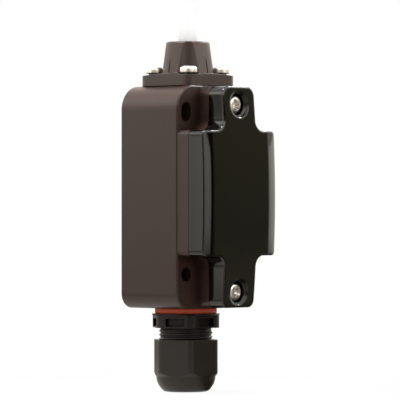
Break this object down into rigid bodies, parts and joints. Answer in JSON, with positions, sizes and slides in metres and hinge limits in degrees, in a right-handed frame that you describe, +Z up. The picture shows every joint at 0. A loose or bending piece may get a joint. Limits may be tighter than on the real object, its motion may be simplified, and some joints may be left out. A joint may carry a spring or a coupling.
{
  "type": "plunger limit switch",
  "caption": "Plunger limit switch: moulded housing with cross-shaped screwed cover, spring-returned plunger in a flanged head, contact block inside and a cable gland underneath.",
  "frame": {"origin": "centre of the four mounting holes on the flat back face of the housing", "axes": "+Z up along the plunger, +X along the housing's width, +Y out of the back face into the wall, so the cover faces -Y"},
  "size_m": [0.04, 0.0429, 0.1427],
  "materials": {
    "moulded_brown": "satin moulded, brown-grey",
    "head_brown": "matte moulded, fine grain",
    "gloss_black": "glossy moulded",
    "seal_rubber": "matte",
    "red_seal": "satin, orange-red",
    "zinc_steel": "bright zinc plated",
    "spring_steel": "drawn wire",
    "bearing_brass": "turned",
    "contact_brass": "stamped strip",
    "white_plastic": "turned white plastic",
    "block_plastic": "matte moulded",
    "tappet_plastic": "matte moulded",
    "gland_plastic": "satin moulded polyamide",
    "insert_plastic": "matte moulded"
  },
  "bodies": {
    "root": {"housing": "moulded_brown", "front_cover": "gloss_black", "cover_gasket": "seal_rubber", "cover_screws": "zinc_steel", "plunger_head": "head_brown", "head_gasket": "seal_rubber", "head_screws": "zinc_steel", "guide_bush": "bearing_brass", "plunger_wiper": "seal_rubber", "plunger_spring": "spring_steel", "contact_block_rear": "block_plastic", "contact_block_front": "block_plastic", "block_screws": "zinc_steel", "break_terminals": "contact_brass", "make_terminals": "contact_brass", "terminal_clamps": "zinc_steel", "terminal_screws": "zinc_steel", "tappet_spring": "spring_steel", "gland_seal_ring": "red_seal", "gland_body": "gland_plastic", "gland_rubber_seal": "seal_rubber"},
    "plunger": {"plunger": "white_plastic", "plunger_ring": "zinc_steel"},
    "tappet": {"tappet": "tappet_plastic", "break_bridge": "contact_brass", "break_contact_spring": "spring_steel", "make_contact_spring": "spring_steel"},
    "make_bridge": {"make_bridge": "contact_brass"},
    "gland_insert": {"gland_clamp_insert": "insert_plastic"},
    "gland_nut": {"gland_dome_nut": "gland_plastic"}
  },
  "joints": [
    {"name": "plunger_press", "type": "slide", "parent": "root", "child": "plunger", "axis": [0, 0, -1], "range_m": [0, 0.0055], "stiffness_N_per_m": 1200, "springref_m": -0.006, "deforming": ["plunger_spring"]},
    {"name": "tappet_slide", "type": "slide", "parent": "root", "child": "tappet", "axis": [0, 0, -1], "range_m": [0, 0.0055], "deforming": ["tappet_spring"]},
    {"name": "make_bridge_lift", "type": "slide", "parent": "tappet", "child": "make_bridge", "axis": [0, 0, 1], "range_m": [0, 0.0025], "deforming": ["make_contact_spring"]},
    {"name": "gland_nut_advance", "type": "slide", "parent": "root", "child": "gland_insert", "axis": [0, 0, 1], "range_m": [0, 0.0042], "deforming": ["gland_rubber_seal"]},
    {"name": "gland_nut_turn", "type": "hinge", "parent": "gland_insert", "child": "gland_nut", "pos_m": [0, -0.0141, -0.06], "axis": [0, 0, 1], "range_deg": [0, 1008]}
  ],
  "couplings": [
    {"joint": "tappet_slide", "follows": "plunger_press", "ratio": 1},
    {"joint": "make_bridge_lift", "follows": "plunger_press", "ratio": 0.4545},
    {"joint": "gland_nut_turn", "follows": "gland_nut_advance", "rad_per_m": 4188.8}
  ]
}
